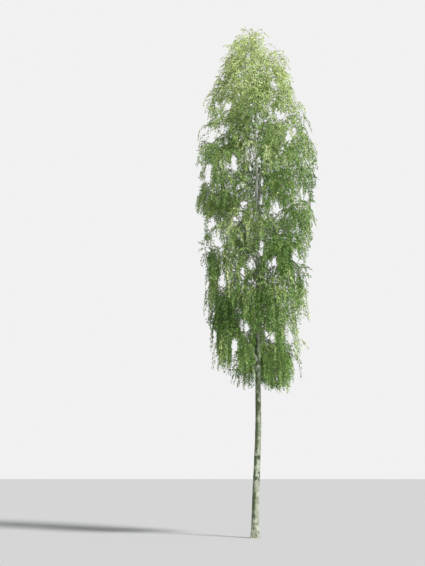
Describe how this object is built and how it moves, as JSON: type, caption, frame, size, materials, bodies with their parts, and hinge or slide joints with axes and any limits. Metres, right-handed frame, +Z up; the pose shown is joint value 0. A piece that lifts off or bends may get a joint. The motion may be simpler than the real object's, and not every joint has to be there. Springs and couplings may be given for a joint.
{
  "type": "birch tree",
  "caption": "Slim white-barked birch with a root flare, steep arching boughs and a narrow, airy crown of hanging leaf sprays, bare-stemmed below, cut flat at ground level",
  "frame": {"origin": "the middle of the flat cut under the trunk, at ground level", "axes": "+Z up along the trunk, +X to the right and +Y away from the viewer as the picture shows the tree"},
  "size_m": [3.1768, 3.0277, 13.8123],
  "materials": {
    "white_bark": "papery cream-white bark with short dark level marks, rough and dark at the foot",
    "bough_bark": "grey-white bark that darkens to brown on the thin limbs",
    "leaves": "small matt leaves, pale yellow-green at the top and deep green low down and inside"
  },
  "bodies": {
    "root": {"bough_01": "bough_bark", "bough_02": "bough_bark", "bough_03": "bough_bark", "bough_04": "bough_bark", "bough_05": "bough_bark", "bough_06": "bough_bark", "bough_07": "bough_bark", "bough_08": "bough_bark", "bough_09": "bough_bark", "bough_10": "bough_bark", "bough_11": "bough_bark", "bough_12": "bough_bark", "bough_13": "bough_bark", "bough_14": "bough_bark", "bough_15": "bough_bark", "bough_16": "bough_bark", "bough_17": "bough_bark", "bough_18": "bough_bark", "bough_19": "bough_bark", "bough_20": "bough_bark", "bough_21": "bough_bark", "bough_22": "bough_bark", "bough_23": "bough_bark", "bough_24": "bough_bark", "foliage_01": "leaves", "foliage_02": "leaves", "foliage_03": "leaves", "foliage_04": "leaves", "foliage_05": "leaves", "foliage_06": "leaves", "foliage_07": "leaves", "foliage_08": "leaves", "foliage_09": "leaves", "foliage_10": "leaves", "foliage_11": "leaves", "foliage_12": "leaves", "foliage_13": "leaves", "foliage_14": "leaves", "foliage_15": "leaves", "foliage_16": "leaves", "foliage_17": "leaves", "foliage_18": "leaves", "foliage_19": "leaves", "foliage_20": "leaves", "foliage_21": "leaves", "foliage_22": "leaves", "foliage_23": "leaves", "foliage_24": "leaves", "inner_foliage_01": "leaves", "inner_foliage_02": "leaves", "inner_foliage_03": "leaves", "inner_foliage_04": "leaves", "inner_foliage_05": "leaves", "inner_foliage_06": "leaves", "inner_foliage_07": "leaves", "steep_bough": "bough_bark", "steep_foliage": "leaves", "top_foliage": "leaves", "trunk": "white_bark"}
  },
  "joints": []
}
